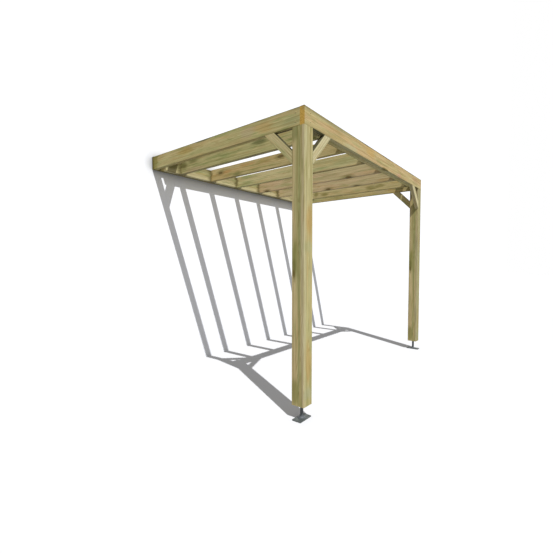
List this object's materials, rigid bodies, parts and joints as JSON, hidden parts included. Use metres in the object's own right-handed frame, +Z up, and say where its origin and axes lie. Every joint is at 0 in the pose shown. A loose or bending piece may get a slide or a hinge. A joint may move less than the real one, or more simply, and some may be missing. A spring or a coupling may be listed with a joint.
{
  "type": "lean-to pergola",
  "caption": "Wall-hung timber pergola: doubled front and back beams, flat roof joists, braced square posts on steel feet.",
  "frame": {"origin": "centre of the wall plate's back face, which lies on the wall", "axes": "+Y into the wall, +Z up, X along the wall"},
  "size_m": [3.09, 2.135, 2.5],
  "materials": {
    "wall_plate": "planed pressure-treated softwood",
    "back_beam": "planed pressure-treated softwood",
    "front_beam": "planed pressure-treated softwood",
    "front_inner_beam": "planed pressure-treated softwood",
    "side_beam_left": "planed pressure-treated softwood",
    "side_beam_right": "planed pressure-treated softwood",
    "joist_1": "planed pressure-treated softwood",
    "joist_2": "planed pressure-treated softwood",
    "joist_3": "planed pressure-treated softwood",
    "joist_4": "planed pressure-treated softwood",
    "joist_5": "planed pressure-treated softwood",
    "joist_6": "planed pressure-treated softwood",
    "post_left": "planed pressure-treated softwood",
    "post_right": "planed pressure-treated softwood",
    "knee_front_left": "planed pressure-treated softwood",
    "knee_front_right": "planed pressure-treated softwood",
    "knee_side_left": "planed pressure-treated softwood",
    "knee_side_right": "planed pressure-treated softwood",
    "corner_brace_front_left": "planed pressure-treated softwood",
    "corner_brace_front_right": "planed pressure-treated softwood",
    "corner_brace_back_left": "planed pressure-treated softwood",
    "corner_brace_back_right": "planed pressure-treated softwood",
    "foot_plate_left": "dark grey coated steel",
    "foot_plate_right": "dark grey coated steel",
    "foot_stem_left": "dark grey coated steel",
    "foot_stem_right": "dark grey coated steel"
  },
  "bodies": {
    "root": {"wall_plate": "wall_plate", "back_beam": "back_beam", "front_beam": "front_beam", "front_inner_beam": "front_inner_beam", "side_beam_left": "side_beam_left", "side_beam_right": "side_beam_right", "joist_1": "joist_1", "joist_2": "joist_2", "joist_3": "joist_3", "joist_4": "joist_4", "joist_5": "joist_5", "joist_6": "joist_6", "post_left": "post_left", "post_right": "post_right", "knee_front_left": "knee_front_left", "knee_front_right": "knee_front_right", "knee_side_left": "knee_side_left", "knee_side_right": "knee_side_right", "corner_brace_front_left": "corner_brace_front_left", "corner_brace_front_right": "corner_brace_front_right", "corner_brace_back_left": "corner_brace_back_left", "corner_brace_back_right": "corner_brace_back_right", "foot_plate_left": "foot_plate_left", "foot_plate_right": "foot_plate_right", "foot_stem_left": "foot_stem_left", "foot_stem_right": "foot_stem_right"}
  },
  "joints": []
}
